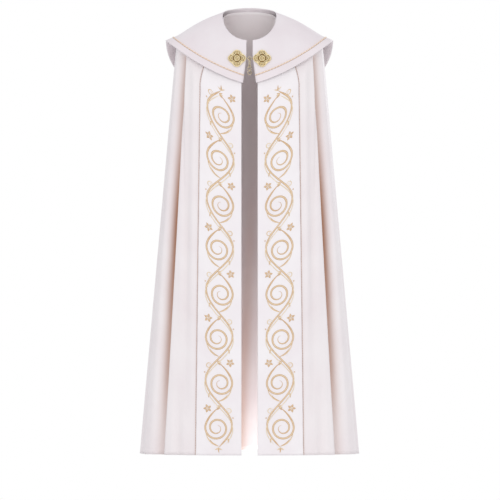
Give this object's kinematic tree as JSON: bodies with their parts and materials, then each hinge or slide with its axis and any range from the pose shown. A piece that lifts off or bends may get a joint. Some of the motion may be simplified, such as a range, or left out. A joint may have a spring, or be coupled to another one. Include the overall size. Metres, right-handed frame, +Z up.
{
  "type": "cope vestment",
  "caption": "Cope worn open down the front: full-length folded satin cloak, wide pointed shoulder collar, scroll-embroidered front bands and a filigree clasp with a hanging chain.",
  "frame": {"origin": "on the wearer: middle of the neck at shoulder level, where the collar and cloak rest", "axes": "+Z up along the body, -Y out of the front, +X to the wearer's left"},
  "size_m": [0.7116, 0.4929, 1.4512],
  "materials": {
    "cloak_satin": "soft ecru-pink satin weave",
    "band_satin": "smooth satin with raised satin-stitch embroidery",
    "band_cord": "thin twisted cord at the band's outer seam",
    "collar_satin": "smooth stiffened satin",
    "border_satin": "glossier satin strip",
    "collar_braid": "narrow peach braid",
    "gilt_plate": "cast filigree, gilt, darkened in its hollows",
    "gilt_wire": "pale gilt wire"
  },
  "bodies": {
    "root": {"cloak_front_right": "cloak_satin", "cloak_front_left": "cloak_satin", "cloak_back": "cloak_satin", "front_band_right": "band_satin", "front_band_left": "band_satin", "band_piping_right": "band_cord", "band_piping_left": "band_cord", "collar": "collar_satin", "collar_border": "border_satin", "collar_piping": "collar_braid", "clasp_plate_right": "gilt_plate", "clasp_plate_left": "gilt_plate", "clasp_hook": "gilt_wire", "clasp_ring": "gilt_wire", "clasp_eye": "gilt_wire"},
    "chain_top": {"chain_long_link": "gilt_wire"},
    "chain_end": {"chain_joining_link_1": "gilt_wire", "chain_ring_1": "gilt_wire", "chain_joining_link_2": "gilt_wire", "chain_ring_2": "gilt_wire"}
  },
  "joints": [
    {"name": "chain_swing_forward", "type": "hinge", "parent": "root", "child": "chain_top", "pos_m": [0, -0.1133, -0.1141], "axis": [-1, 0, 0], "range_deg": [-10, 60]},
    {"name": "chain_swing_sideways", "type": "hinge", "parent": "chain_top", "child": "chain_end", "pos_m": [0, -0.1133, -0.1317], "axis": [0, 1, 0], "range_deg": [-14, 14]}
  ]
}
